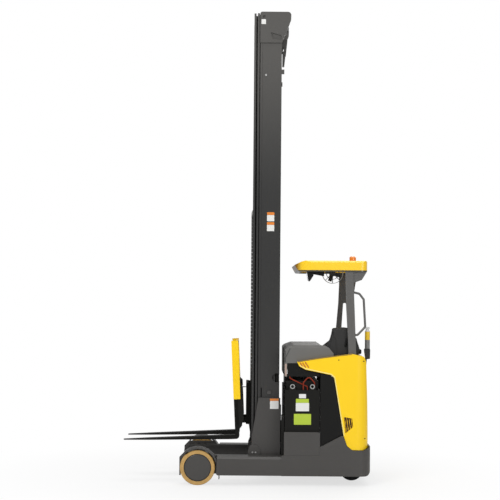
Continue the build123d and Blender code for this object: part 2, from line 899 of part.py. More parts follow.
def free_lift_barrel():
    z0 = MAST_BOTTOM_Z + 30
    tube = rod_z(FREE_LIFT_X, 0, FREE_LIFT_RADIUS, z0, 2400) - rod_z(FREE_LIFT_X, 0, 28, z0 + 20, 2401)
    clamp = box(120, SHEAVE_X + SHEAVE_RADIUS + 20, -100, 100, CHAIN_ANCHOR_Z[1] - 60, CHAIN_ANCHOR_Z[1])
    return tube + clamp - rod_z(FREE_LIFT_X, 0, 28, z0 + 20, 2401)


def crosshead():
    rod = rod_z(FREE_LIFT_X, 0, 25, MAST_BOTTOM_Z + 260, SHEAVE_Z - 60)
    yoke = box(SHEAVE_X - 20, FREE_LIFT_X + 30, -40, 40, SHEAVE_Z - 60, SHEAVE_Z + 30)
    pin = rod_y(SHEAVE_X, SHEAVE_Z, 14, -CHAIN_Y - 25, CHAIN_Y + 25)
    head = rod + yoke + pin
    r = SHEAVE_RADIUS
    for y in (-CHAIN_Y, CHAIN_Y):
        profile = (
            (14, y - 20),
            (r + 8, y - 20),
            (r + 8, y - 15),
            (r, y - 15),
            (r, y + 15),
            (r + 8, y + 15),
            (r + 8, y + 20),
            (14, y + 20),
        )
        head += turned(profile, (SHEAVE_X, SHEAVE_Z))
        wrap = ((r - 1, y - 13), (r + 17, y - 13), (r + 17, y + 13), (r - 1, y + 13))
        head += turned(wrap, (SHEAVE_X, SHEAVE_Z)) & box(0, 300, -200, 200, SHEAVE_Z, SHEAVE_Z + 100)
    return head


def chain_strand(x, z0, z1):
    # leaf chain: wide link plates over narrow ones
    y = -CHAIN_Y
    links = [box(x - 4, x + 4, y - 6, y + 6, z0, z1)]
    for i in range(int((z1 - z0) / CHAIN_PITCH)):
        z = z0 + CHAIN_PITCH * (i + 0.5)
        links.append(box(x - 8, x + 8, y - 13, y + 13, z - 13, z + 13))
    return both_sides(links[0] + links[1:])


def carriage_chains():
    # from the fork carriage up to the front of the sheaves
    return chain_strand(SHEAVE_X - SHEAVE_RADIUS - 9, CHAIN_ANCHOR_Z[0], SHEAVE_Z)


def anchor_chains():
    # from the back of the sheaves down to the clamp on the cylinder
    return chain_strand(SHEAVE_X + SHEAVE_RADIUS + 9, CHAIN_ANCHOR_Z[1], SHEAVE_Z)


def fork_carriage():
    # two side plates with their rollers in the inner rails, joined by cross plates
    x, z = TILT_PIN
    plate = side_plate(
        (
            (0, 560, 10),
            (30, 560, 0),
            (44, 470, 10),
            (40, 390, 8),
            (60, 390, 8),
            (66, 480, 10),
            (90, 560, 0),
            (188, 560, 40),
            (188, 960, 40),
            (0, 985, 10),
        ),
        -188,
        -170,
    )
    plate += side_plate(
        (
            (x - 26, z - 26, 25),
            (10, z - 26, 0),
            (10, z + 26, 0),
            (x - 26, z + 26, 25),
        ),
        -188,
        -170,
    )
    plate -= rod_y(x, z, TILT_PIN_RADIUS + 0.4, -189, -169)
    for z in (620, 900):
        plate += rod_y(138, z, 50, -233, -200)
        plate += rod_y(138, z, 20, -200, -188)
    sides = both_sides(plate)
    for z0, z1 in ((560, 660), (880, 985)):
        sides += box(0, 20, -171, 171, z0, z1)
    anchor = box(20, SHEAVE_X - SHEAVE_RADIUS + 4, -CHAIN_Y - 20, 20 - CHAIN_Y, 890, CHAIN_ANCHOR_Z[0])
    sides += both_sides(anchor)
    return sides - rod_x(0, TILT_ROD_Z, 30, -1, 21)


def tilt_barrel():
    barrel = rod_x(0, TILT_ROD_Z, 30, 0, 105) - rod_x(0, TILT_ROD_Z, 13, -1, 97)
    return barrel


def tilt_rod():
    x, z = tipped_point(TILT_EYE)
    eye = rod_y(x, z, 18, -11, 11) - rod_y(x, z, 12, -12, 12)
    stem = rod_x(0, TILT_ROD_Z, 9, x + 15, 62)
    return eye + stem


def fork_frame():
    frame = Part()
    x, z = TILT_PIN
    for z0, z1 in ((560, 660), (900, 1000)):
        frame += box(-70, -38, -390, 390, z0, z1)
    end = side_plate(
        (
            (-70, 532, 0),
            (-62, 532, 0),
            (-20, 618, 8),
            (-20, 985, 20),
            (-70, 1000, 0),
        ),
        -390,
        -376,
    )
    frame += both_sides(end)
    for y in (-120, 120):
        frame += box(-70, -38, y - 30, y + 30, 640, 920)
    for y in (-179, 179):
        frame -= box(-71, -30, y - 16, y + 16, 559, z + 40)
        for ear in (y - 24, y + 24):
            frame += side_plate(
                (
                    (-45, z - 20, 0),
                    (x + 20, z - 20, 19),
                    (x + 20, z + 20, 19),
                    (-45, z + 20, 0),
                ),
                ear - 8,
                ear + 8,
            )
        frame += rod_y(x, z, TILT_PIN_RADIUS, y - 26, y + 26)
    x, z = TILT_EYE
    frame -= box(-71, -20, -16, 16, z - 25, z + 25)
    frame += rod_y(x, z, 10, -17, 17)
    return tip_forward(frame)


def fork(side):
    y = side * FORK_Y
    x_face, x_back = FORK_FACE_X, FORK_FACE_X + FORK_THICKNESS
    heel = FORK_TOP_Z - FORK_THICKNESS
    shape = side_plate(
        (
            (x_back, SHANK_TOP_Z, 6),
            (x_face, SHANK_TOP_Z, 14),
            (x_face, FORK_TOP_Z, 6),
            (FORK_TIP_X, FORK_TOP_Z, 2),
            (FORK_TIP_X, FORK_TOP_Z - 8, 2),
            (x_face - 60, heel, 0),
            (x_back, heel, 34),
        ),
        y - FORK_WIDTH / 2,
        y + FORK_WIDTH / 2,
    )
    taper = flat_plate(
        (
            (x_back + 1, y - FORK_WIDTH / 2, 0),
            (x_back + 1, y + FORK_WIDTH / 2, 0),
            (FORK_TIP_X + 260, y + FORK_WIDTH / 2, 90),
            (FORK_TIP_X, y + FORK_WIDTH / 4, 20),
            (FORK_TIP_X, y - FORK_WIDTH / 4, 20),
            (FORK_TIP_X + 260, y - FORK_WIDTH / 2, 90),
        ),
        300,
        1100,
    )
    hooks = box(x_back, x_back + 22, y - 45, y + 45, 1001, 1026)
    hooks += box(x_back, x_back + 22, y - 45, y + 45, 536, 559)
    return tip_forward((shape & taper) + hooks)


def load_backrest():
    z0, z1 = 830, 1412
    bar = box(-112, -44, -408, -396, z0, z1)
    sides = both_sides(bar)
    top = box(-66, -46, -397, 397, z1 - 40, z1 - 10)
    uprights = [box(-62, -50, y - 10, y + 10, 1050, z1 - 39) for y in (-260, -130, 0, 130, 260)]
    lower = box(-66, -46, -397, 397, 1032, 1056)
    feet = both_sides(box(-66, -46, -142, -118, 1000, 1033))
    return tip_forward(sides + top + lower + uprights + feet)


def main():
    os.makedirs("parts", exist_ok=True)
    left_pieces = {
        "straddle_leg": straddle_leg(),
        "load_axle": load_axle(),
        "load_wheel": load_wheel(),
        "load_wheel_hub": load_wheel_hub(),
        "wheel_guard": wheel_guard(),
        "battery_plate": battery_plate(),
    }
    for name, part in left_pieces.items():
        write(name + "_left", part)
        write(name + "_right", mirror(part, Plane.XZ))
    pieces = (
        base_frame, drive_unit, drive_wheel, reach_barrel,
        battery, battery_leads, battery_stops, battery_cover,
        body_shell, vent_grille, side_panel_left, console_hood,
        floor_deck, seat_box, seat_pan, seat_back, armrest, pedals, steering_console, steering_wheel,
        guard_roof, guard_column_left, guard_column_right, grab_rail, work_lamp, fan, beacon, extinguisher,
        outer_mast, middle_mast, inner_mast, reach_carriage, reach_rollers, reach_rod, mast_head,
        lift_barrels, lift_rods, free_lift_barrel, crosshead, carriage_chains, anchor_chains,
        fork_carriage, tilt_barrel, tilt_rod, fork_frame, load_backrest,
    )
    for piece in pieces:
        write(piece.__name__, piece())
    write("fork_left", fork(-1))
    write("fork_right", fork(1))


main()
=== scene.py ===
import json
import math

import bmesh
import bpy
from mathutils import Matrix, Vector

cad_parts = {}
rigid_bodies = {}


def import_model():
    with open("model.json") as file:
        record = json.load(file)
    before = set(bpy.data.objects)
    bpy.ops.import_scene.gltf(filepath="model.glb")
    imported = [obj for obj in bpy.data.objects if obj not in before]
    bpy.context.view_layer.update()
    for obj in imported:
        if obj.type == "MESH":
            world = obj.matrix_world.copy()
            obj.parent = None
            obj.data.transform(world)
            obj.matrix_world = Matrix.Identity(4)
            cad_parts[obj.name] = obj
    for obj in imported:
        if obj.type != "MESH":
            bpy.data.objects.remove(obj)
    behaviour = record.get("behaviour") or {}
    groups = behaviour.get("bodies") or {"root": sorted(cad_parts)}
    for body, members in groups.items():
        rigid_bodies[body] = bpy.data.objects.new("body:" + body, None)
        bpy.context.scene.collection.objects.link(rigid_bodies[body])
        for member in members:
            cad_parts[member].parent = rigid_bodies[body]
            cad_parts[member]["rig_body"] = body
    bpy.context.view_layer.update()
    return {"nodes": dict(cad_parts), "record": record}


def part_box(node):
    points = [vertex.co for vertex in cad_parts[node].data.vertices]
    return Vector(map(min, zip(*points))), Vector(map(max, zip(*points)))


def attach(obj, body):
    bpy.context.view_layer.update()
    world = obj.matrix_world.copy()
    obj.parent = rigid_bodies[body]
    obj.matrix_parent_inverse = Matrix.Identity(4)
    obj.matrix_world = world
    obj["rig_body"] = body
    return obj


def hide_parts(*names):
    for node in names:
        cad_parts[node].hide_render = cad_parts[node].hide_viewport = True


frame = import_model()
NODES = frame["nodes"]

# Floor, in metres: its half width, and how far out it turns fully white
FLOOR_HALF = 30.0
FLOOR_WHITE_FROM = 2.2
FLOOR_WHITE_OVER = 2.4
FLOOR_WHITE_NEAR = 0.7

# The point that the lamps face, and the brightness of the sky that lights the truck
MAST_MIDDLE = Vector((0.20, 0.0, 2.4))
SKY_GLOW = 0.55

# Faces of the left side that plates and bolts lie on, Y in metres
TRAY_Y = -0.608
BODY_Y = -0.625
HOOD_Y = -0.590
CARRIAGE_PLATE_Y = -0.415
ROLLER_PLATE_Y = -0.427
MAST_WEB_Y = -0.390
MAST_HEAD_Y = -0.404
SEAT_KNOB_Y = -0.552
SEAL_Y = -0.6005

# How far plates, bolt heads and lines reach into the face they lie on, in metres
SUNK = 0.0005
LINE_SUNK = 0.0003
FACING_LEFT = (math.pi / 2, 0, 0)

# Features of the truck that finishes and pieces are placed by, in metres
BEACON_MIDDLE = (1.067, -0.2, 0)
FAN_MIDDLE = (0.855, 0, 2.090)
FAN_RING = 0.098
LIFTING_EYES_X = (0.455, 0.650)
LIFTING_EYES_Z = 0.972
LAMP_FRONT_LEAN = 0.167
VENT_PITCH = 0.0217
VENT_LEAN = 0.14

# Camera, from the photograph's framing
CAMERA_PLACE = (0.0325, -13.2, 1.835)
CAMERA_LENS = 92.66
CAMERA_SHIFT_Y = 0.096
CAMERA_ROLL = math.radians(-0.45)


class Value:
    """A socket of a finish, on which arithmetic adds Math nodes."""

    def __init__(self, finish, socket):
        self.finish = finish
        self.socket = socket

    def maths(self, operation, a, b=0.0, c=0.0):
        return self.finish.node("ShaderNodeMath", {"operation": operation}, {0: a, 1: b, 2: c})

    def __add__(self, other):
        return self.maths("ADD", self, other)

    def __sub__(self, other):
        return self.maths("SUBTRACT", self, other)

    def __mul__(self, other):
        return self.maths("MULTIPLY", self, other)

    def __truediv__(self, other):
        return self.maths("DIVIDE", self, other)

    def __rsub__(self, other):
        return self.maths("SUBTRACT", other, self)

    __radd__ = __add__
    __rmul__ = __mul__

    def fraction(self):
        return self.maths("FRACT", self)

    def above(self, edge, width):
        # 0 below the edge, 1 above it, over a soft width
        return self.finish.node("ShaderNodeMapRange", {"interpolation_type": "SMOOTHSTEP"},
                                {0: self, 1: edge - width / 2, 2: edge + width / 2, 3: 0.0, 4: 1.0})


class Finish:
    """A material made of nodes."""

    def __init__(self, name):
        self.material = bpy.data.materials.new(name)
        self.material.use_nodes = True
        self.tree = self.material.node_tree
        self.tree.nodes.clear()

    def node(self, kind, settings=None, sockets=None, output=0):
        node = self.tree.nodes.new(kind)
        for key, setting in (settings or {}).items():
            setattr(node, key, setting)
        for key, value in (sockets or {}).items():
            if isinstance(value, Value):
                self.tree.links.new(value.socket, node.inputs[key])
            else:
                node.inputs[key].default_value = value
        return Value(self, node.outputs[output])

    def place(self):
        return self.node("ShaderNodeTexCoord", {}, {}, output="Object")

    def along(self, axis):
        return self.node("ShaderNodeSeparateXYZ", {}, {0: self.place()}, output=axis)

    def scaled(self, scale, centre=(0, 0, 0)):
        shifted = self.node("ShaderNodeVectorMath", {"operation": "SUBTRACT"}, {0: self.place(), 1: centre})
        return self.node("ShaderNodeVectorMath", {"operation": "MULTIPLY"}, {0: shifted, 1: scale})

    def noise(self, scale, detail=3.0, stretch=(1, 1, 1)):
        sockets = {"Vector": self.scaled(stretch), "Scale": scale, "Detail": detail}
        return self.node("ShaderNodeTexNoise", {}, sockets)

    def mix(self, factor, a, b):
        sockets = {0: factor, 6: rgba(a), 7: rgba(b)}
        return self.node("ShaderNodeMix", {"data_type": "RGBA"}, sockets, output=2)

    def length(self, vector):
        return self.node("ShaderNodeVectorMath", {"operation": "LENGTH"}, {0: vector}, output="Value")

    def bump(self, height, distance, strength=1.0):
        return self.node("ShaderNodeBump", {}, {"Height": height, "Distance": distance, "Strength": strength})

    def orange_peel(self):
        return self.bump(self.noise(420.0, detail=1.0), 0.00012, 0.35)

    def scuffs(self):
        return self.noise(38.0, detail=6.0).above(0.62, 0.2)

    def end(self, colour, roughness, normal=None, **constants):
        sockets = {"Base Color": rgba(colour), "Roughness": roughness}
        if normal:
            sockets["Normal"] = normal
        for key, value in constants.items():
            sockets[key.replace("_", " ").title().replace("Ior", "IOR")] = value
        shader = self.node("ShaderNodeBsdfPrincipled", {}, sockets)
        self.node_output(shader)
        return self.material

    def node_output(self, shader):
        output = self.tree.nodes.new("ShaderNodeOutputMaterial")
        self.tree.links.new(shader.socket, output.inputs["Surface"])


def rgba(colour):
    return colour if isinstance(colour, Value) or len(colour) == 4 else (*colour, 1.0)


def painted(name, colour, roughness, dust=0.06, coat=0.3, gloss=0.5):
    # sprayed paint: a fine orange peel, faint dust and a slow change of tone
    finish = Finish(name)
    tone = finish.noise(2.2)
    darker = tuple(c * (1 - dust) for c in colour)
    lighter = tuple(c * (1 + dust) + 0.002 for c in colour)
    base = finish.mix(tone, darker, lighter)
    return finish.end(base, roughness + finish.scuffs() * 0.08 + tone * 0.06, finish.orange_peel(),
                      coat_weight=coat, coat_roughness=0.12, specular_ior_level=gloss)


def mast_paint():
    # grey paint with painted light and shade by height: darkest at the mast's middle and paler towards its
    # head
    finish = Finish("mast_paint")
    height = finish.along("Z")
    middle = finish.mix(height.above(1.5, 1.4), (0.034, 0.033, 0.032), (0.025, 0.025, 0.0245))
    base = finish.mix(height.above(3.6, 1.8), middle, (0.082, 0.079, 0.074))
    return finish.end(base, 0.42 + finish.scuffs() * 0.1, finish.orange_peel(), specular_ior_level=0.3)


def roof_paint():
    # yellow paint with painted shade: brown round the roof's nose, and dark on its lower lip
    finish = Finish("roof_paint")
    tone = finish.noise(2.2)
    yellow = finish.mix(tone, (0.92, 0.56, 0.003), (0.96, 0.62, 0.006))
    nose_shade_mask = finish.along("X").above(0.512, 0.07)
    nose_painted_shade = finish.mix(nose_shade_mask, (0.26, 0.11, 0.006), yellow)
    lip_shade_mask = finish.along("Z").above(2.114, 0.006)
    base = finish.mix(lip_shade_mask, (0.035, 0.032, 0.02), nose_painted_shade)
    return finish.end(base, 0.32 + tone * 0.06, finish.orange_peel(), coat_weight=0.4)


def canister():
    # black holder, grey bottle with a yellow band, and a bright cap
    finish = Finish("canister")
    height = finish.along("Z")
    fine = finish.noise(300.0, detail=2.0)
    bottle = finish.mix(height.above(1.341, 0.002), (0.010, 0.010, 0.010), (0.20, 0.20, 0.195))
    banded = finish.mix(height.above(1.428, 0.002), bottle, (0.80, 0.52, 0.02))
    base = finish.mix(height.above(1.510, 0.002), banded, (0.62, 0.62, 0.61))
    return finish.end(base, 0.38 + fine * 0.06, finish.bump(fine, 0.0001, 0.3), specular_ior_level=0.4)


def fan_finish():
    # black motor and blades in a cage whose outer rings are bright wire
    finish = Finish("fan_finish")
    fine = finish.noise(300.0, detail=2.0)
    reach = finish.length(finish.scaled((1, 0, 1), FAN_MIDDLE))
    base = finish.mix(reach.above(FAN_RING, 0.002), (0.012, 0.012, 0.012), (0.30, 0.30, 0.29))
    return finish.end(base, 0.35 + fine * 0.1, finish.bump(fine, 0.0001, 0.3), specular_ior_level=0.35)


def vent_finish():
    # yellow slats that lean with the vent, with painted shade in the slots between them
    finish = Finish("vent_finish")
    across = finish.along("X") + finish.along("Z") * VENT_LEAN
    slat = (across / VENT_PITCH).fraction().above(0.62, 0.12)
    fine = finish.noise(200.0, detail=2.0)
    base = finish.mix(slat, (0.035, 0.014, 0.003), (0.80, 0.46, 0.01))
    return finish.end(base, 0.40 + fine * 0.08, finish.bump(slat, 0.002, 0.6), specular_ior_level=0.3)


def film_print_and_painted_light(name, colour):
    # thin film for print, seams and the body's lines of painted shade and painted highlight: faint mottling
    # and a slight sheen
    finish = Finish(name)
    mottle = finish.noise(160.0, detail=4.0)
    base = finish.mix(mottle, tuple(c * 0.86 for c in colour), colour)
    return finish.end(base, 0.30 + mottle * 0.12, finish.bump(mottle, 0.00005, 0.3), coat_weight=0.2)


def moulded(name, colour, roughness, grain=900.0, depth=0.00015, gloss=0.5):
    # moulded plastic with a fine leather-like grain
    finish = Finish(name)
    cells = finish.node("ShaderNodeTexVoronoi", {"feature": "SMOOTH_F1"},
                        {"Vector": finish.place(), "Scale": grain})
    tone = finish.noise(3.0)
    base = finish.mix(tone, tuple(c * 0.9 for c in colour), tuple(c * 1.12 for c in colour))
    return finish.end(base, roughness + tone * 0.08, finish.bump(cells, depth, 0.5), specular_ior_level=gloss)


def machined(name, colour, roughness, scratch=(1, 1, 1), metallic=1.0):
    finish = Finish(name)
    lines = finish.noise(60.0, 4.0, scratch)
    base = finish.mix(lines, tuple(c * 0.8 for c in colour), tuple(c * 1.15 for c in colour))
    return finish.end(base, roughness + lines * 0.15, finish.bump(lines, 0.0001, 0.3), metallic=metallic)


def polyurethane():
    # cast tread of the load wheels, darkened here and there by dust
    finish = Finish("polyurethane")
    worn = finish.noise(24.0, 6.0)
    base = finish.mix(worn, (0.36, 0.20, 0.05), (0.58, 0.36, 0.11))
    return finish.end(base, 0.38 + worn * 0.2, finish.bump(worn, 0.0006, 0.3), coat_weight=0.2)


def rubber(name, colour):
    finish = Finish(name)
    worn = finish.noise(60.0, 6.0)
    base = finish.mix(worn, tuple(c * 0.8 for c in colour), tuple(c * 1.6 for c in colour))
    return finish.end(base, 0.6 + worn * 0.25, finish.bump(worn, 0.0005, 0.4), specular_ior_level=0.3)


def vinyl():
    # seat cover: fine pebbled grain
    finish = Finish("seat_vinyl")
    grain = finish.node("ShaderNodeTexVoronoi", {"feature": "SMOOTH_F1"},
                        {"Vector": finish.place(), "Scale": 520.0})
    folds = finish.noise(9.0, 4.0)
    base = finish.mix(folds, (0.014, 0.014, 0.014), (0.030, 0.029, 0.028))
    return finish.end(base, 0.5 + folds * 0.12, finish.bump(grain, 0.0004, 0.5), specular_ior_level=0.3)


def amber():
    finish = Finish("amber_lens")
    ribs = finish.node("ShaderNodeTexWave", {"wave_type": "RINGS", "rings_direction": "Z"},
                       {"Vector": finish.scaled((1, 1, 1), BEACON_MIDDLE), "Scale": 40.0})
    base = finish.mix(ribs, (0.80, 0.20, 0.01), (0.95, 0.34, 0.03))
    return finish.end(base, 0.2, finish.bump(ribs, 0.001, 0.4), coat_weight=0.6)


def clear_lens():
    finish = Finish("lamp_lens")
    ribs = finish.node("ShaderNodeTexWave", {"bands_direction": "X"},
                       {"Vector": finish.place(), "Scale": 60.0})
    base = finish.mix(ribs, (0.75, 0.76, 0.78), (0.92, 0.93, 0.95))
    return finish.end(base, 0.12, finish.bump(ribs, 0.001, 0.5), coat_weight=1.0)


FINISHES = {
    "yellow_paint": painted("yellow_paint", (0.93, 0.605, 0.003), 0.34, dust=0.03, coat=0.15, gloss=0.3),
    "grey_paint": painted("grey_paint", (0.052, 0.049, 0.046), 0.40, coat=0.15, gloss=0.35),
    "mid_grey_plastic": moulded("mid_grey_plastic", (0.135, 0.132, 0.125), 0.45, gloss=0.3),
    "black_paint": painted("black_paint", (0.0065, 0.0063, 0.0052), 0.5, coat=0.0, gloss=0.15),
    "black_plastic": moulded("black_plastic", (0.0065, 0.0065, 0.006), 0.5, gloss=0.15),
    "polyurethane": polyurethane(),
    "black_tyre": rubber("black_tyre", (0.012, 0.012, 0.012)),
    "chrome": machined("chrome", (0.75, 0.75, 0.75), 0.08),
    "steel": machined("steel", (0.38, 0.38, 0.37), 0.35),
    "chain_steel": machined("chain_steel", (0.10, 0.10, 0.098), 0.42, scratch=(1, 1, 6)),
    "cast_iron": painted("cast_iron", (0.02, 0.02, 0.02), 0.6, coat=0.0, gloss=0.3),
    "seat_vinyl": vinyl(),
    "amber_lens": amber(),
    "lamp_lens": clear_lens(),
    "red_cable": rubber("red_cable", (0.20, 0.022, 0.008)),
}

# Nodes whose finish differs from that of their slot
# a lighter copy of the grey paint: painted light on the near guard column, and the grab rail's grey too
LIT_COLUMN_PAINT = painted("column_paint", (0.085, 0.082, 0.078), 0.36, coat=0.3)
MAST_PAINT_PAINTED_LIGHT = mast_paint()
NODE_FINISHES = {
    "outer_mast": MAST_PAINT_PAINTED_LIGHT,
    "middle_mast": MAST_PAINT_PAINTED_LIGHT,
    "inner_mast": MAST_PAINT_PAINTED_LIGHT,
    "mast_head": MAST_PAINT_PAINTED_LIGHT,
    "guard_roof": roof_paint(),
    "guard_column_left": LIT_COLUMN_PAINT,
    "grab_rail": LIT_COLUMN_PAINT,
    "extinguisher": canister(),
    "vent_grille": vent_finish(),
    "fan": fan_finish(),
}

# Films of the plates and lines; the body's brown and pale edge lines are painted shade and a painted highlight
LABEL_WHITE = film_print_and_painted_light("label_white", (0.78, 0.78, 0.76))
LABEL_LIME = film_print_and_painted_light("label_lime", (0.44, 0.58, 0.03))
LABEL_ORANGE = film_print_and_painted_light("label_orange", (0.75, 0.22, 0.02))
SLASH_ORANGE = film_print_and_painted_light("slash_orange", (0.55, 0.17, 0.008))
EDGE_PAINTED_SHADE = film_print_and_painted_light("edge_brown", (0.22, 0.12, 0.02))
EDGE_PAINTED_HIGHLIGHT = film_print_and_painted_light("edge_pale", (0.95, 0.80, 0.28))
SEAM_DARK = film_print_and_painted_light("seam_dark", (0.02, 0.02, 0.02))
STRIP_BEIGE = film_print_and_painted_light("strip_beige", (0.42, 0.31, 0.26))


def finish_cad_nodes():
    for part in frame["record"]["subparts"]:
        node = NODES[part["node"]]
        node.data.materials.clear()
        node.data.materials.append(NODE_FINISHES.get(part["node"]) or FINISHES[part["material_slot"]])
        smooth(node)


def finished(piece, name, on, finish, angle=32):
    """Name a new piece, put its place in its mesh, dress it, and let it ride with a node's body."""
    piece.name = name
    bpy.ops.object.select_all(action="DESELECT")
    piece.select_set(True)
    bpy.context.view_layer.objects.active = piece
    bpy.ops.object.transform_apply(location=True, rotation=True, scale=True)
    piece.data.materials.clear()
    piece.data.materials.append(finish)
    smooth(piece, angle)
    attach(piece, NODES[on]["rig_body"])
    return piece


def sticker(name, on, finish, centre, size, turn=FACING_LEFT, thick=0.0011, corner=0.004):
    """A thin plate with rounded corners, facing the left side unless it is turned."""
    bpy.ops.object.select_all(action="DESELECT")
    bpy.ops.mesh.primitive_plane_add(size=1)
    piece = bpy.context.object
    bpy.ops.object.mode_set(mode="EDIT")
    bpy.ops.mesh.select_all(action="SELECT")
    bpy.ops.transform.resize(value=(size[0], size[1], 1))
    bpy.ops.mesh.bevel(offset=corner, segments=3, affect="VERTICES")
    bpy.ops.mesh.extrude_region_move(TRANSFORM_OT_translate={"value": (0, 0, thick)})
    bpy.ops.mesh.select_all(action="SELECT")
    bpy.ops.mesh.normals_make_consistent(inside=False)
    bpy.ops.object.mode_set(mode="OBJECT")
    piece.rotation_euler = turn
    piece.location = centre
    return finished(piece, name, on, finish)


def label(name, on, finish, span_x, span_z, y, **shape):
    # a plate from one edge to the other along X and Z
    centre = (sum(span_x) / 2, y + SUNK, sum(span_z) / 2)
    return sticker(name, on, finish, centre, (span_x[1] - span_x[0], span_z[1] - span_z[0]), **shape)


def line(name, on, finish, points, width, y, thick=0.0008):
    """A thin raised line along points (x, z) of a left face, mitred at its corners."""
    sides = []
    for index, point in enumerate(points):
        before = Vector(points[max(index - 1, 0)])
        after = Vector(points[min(index + 1, len(points) - 1)])
        along = (after - before).normalized()
        sides.append((Vector(point), Vector((-along.y, along.x)) * width / 2))
    mesh = bmesh.new()
    rows = [[mesh.verts.new((*(point + side * sign), 0)) for sign in (1, -1)] for point, side in sides]
    for (a, b), (c, d) in zip(rows, rows[1:]):
        mesh.faces.new((a, b, d, c))
    plate = bmesh.ops.extrude_face_region(mesh, geom=mesh.faces[:])
    lifted = [item for item in plate["geom"] if isinstance(item, bmesh.types.BMVert)]
    bmesh.ops.translate(mesh, verts=lifted, vec=(0, 0, thick + LINE_SUNK))
    bmesh.ops.recalc_face_normals(mesh, faces=mesh.faces[:])
    data = bpy.data.meshes.new(name)
    mesh.to_mesh(data)
    mesh.free()
    piece = bpy.data.objects.new(name, data)
    bpy.context.scene.collection.objects.link(piece)
    piece.rotation_euler = FACING_LEFT
    piece.location = (0, y + LINE_SUNK, 0)
    return finished(piece, name, on, finish)


def washer(name, on, finish, centre, outer, inner, thick):
    """A flat ring on a left face, with its edges broken."""
    bpy.ops.object.select_all(action="DESELECT")
    bpy.ops.mesh.primitive_circle_add(vertices=40, radius=outer)
    piece = bpy.context.object
    bpy.ops.object.mode_set(mode="EDIT")
    bpy.ops.mesh.select_all(action="SELECT")
    bpy.ops.mesh.extrude_edges_move()
    bpy.ops.transform.resize(value=(inner / outer, inner / outer, 1))
    bpy.ops.mesh.select_all(action="SELECT")
    bpy.ops.mesh.extrude_region_move(TRANSFORM_OT_translate={"value": (0, 0, thick)})
    bpy.ops.mesh.select_all(action="SELECT")
    bpy.ops.mesh.normals_make_consistent(inside=False)
    bpy.ops.object.mode_set(mode="OBJECT")
    piece.rotation_euler = FACING_LEFT
    piece.location = centre
    broken_edges(piece, thick / 4)
    return finished(piece, name, on, finish)


def broken_edges(piece, width, segments=2):
    bevel = piece.modifiers.new("broken edges", "BEVEL")
    bevel.width = width
    bevel.segments = segments
    bevel.limit_method = "ANGLE"
    bpy.context.view_layer.objects.active = piece
    bpy.ops.object.modifier_apply(modifier=bevel.name)


def bolts(name, on, finish, places, y, radius, height, sides):
    """Bolt heads on a left face, each with a dished top, modelled once and copied."""
    bpy.ops.object.select_all(action="DESELECT")
    bpy.ops.mesh.primitive_cylinder_add(vertices=sides, radius=radius, depth=height,
                                        location=(places[0][0], y - height / 2 + SUNK, places[0][1]),
                                        rotation=FACING_LEFT)
    first = bpy.context.object
    outer = max(first.data.polygons, key=lambda face: face.center.z).index
    bpy.ops.object.mode_set(mode="EDIT")
    bpy.ops.mesh.select_mode(type="FACE")
    bpy.ops.mesh.select_all(action="DESELECT")
    bpy.ops.object.mode_set(mode="OBJECT")
    first.data.polygons[outer].select = True
    bpy.ops.object.mode_set(mode="EDIT")
    bpy.ops.mesh.inset(thickness=radius * 0.3, depth=-height * 0.2)
    bpy.ops.object.mode_set(mode="OBJECT")
    broken_edges(first, radius * 0.08)
    heads = [first]
    for x, z in places[1:]:
        head = first.copy()
        head.data = first.data.copy()
        head.location = (x, first.location.y, z)
        bpy.context.scene.collection.objects.link(head)
        heads.append(head)
    bpy.ops.object.select_all(action="DESELECT")
    for head in heads:
        head.select_set(True)
    bpy.context.view_layer.objects.active = first
    if len(heads) > 1:
        bpy.ops.object.join()
    return finished(first, name, on, finish)


def rod(name, on, finish, foot, top, radius, tip=1.0):
    """A round stick between two points, with rounded ends and a tip that may be fatter than its foot."""
    bpy.ops.object.select_all(action="DESELECT")
    foot, top = Vector(foot), Vector(top)
    along = top - foot
    bpy.ops.mesh.primitive_cone_add(vertices=24, radius1=radius, radius2=radius * tip, depth=along.length,
                                    location=(foot + top) / 2,
                                    rotation=along.to_track_quat("Z", "Y").to_euler())
    piece = bpy.context.object
    broken_edges(piece, radius * 0.45, 4)
    return finished(piece, name, on, finish)


def smooth(piece, angle=32):
    bpy.ops.object.select_all(action="DESELECT")
    piece.select_set(True)
    bpy.context.view_layer.objects.active = piece
    bpy.ops.object.shade_smooth_by_angle(angle=math.radians(angle))
    piece.select_set(False)


def battery_labels():
    # blank labels down the battery tray, and bright bushes in its lifting eyes
    label("battery_label_top", "battery", LABEL_WHITE, (0.519, 0.588), (0.858, 0.8995), TRAY_Y)
    label("battery_label_strip", "battery", LABEL_LIME, (0.490, 0.616), (0.813, 0.852), TRAY_Y)
    label("battery_label_white", "battery", LABEL_WHITE, (0.489, 0.619), (0.731, 0.812), TRAY_Y)
    label("battery_label_lime", "battery", LABEL_LIME, (0.471, 0.639), (0.599, 0.705), TRAY_Y)
    for index, x in enumerate(LIFTING_EYES_X):
        washer(f"lifting_eye_bush_{index + 1}", "battery", FINISHES["steel"],
               (x, TRAY_Y + SUNK, LIFTING_EYES_Z), 0.024, 0.0145, 0.004)


# x, z, length, lean in radians
SLASHES = (
    (0.539, 1.187, 0.050, 0.51),
    (0.566, 1.184, 0.058, 0.57),
    (0.595, 1.185, 0.066, 0.60),
)


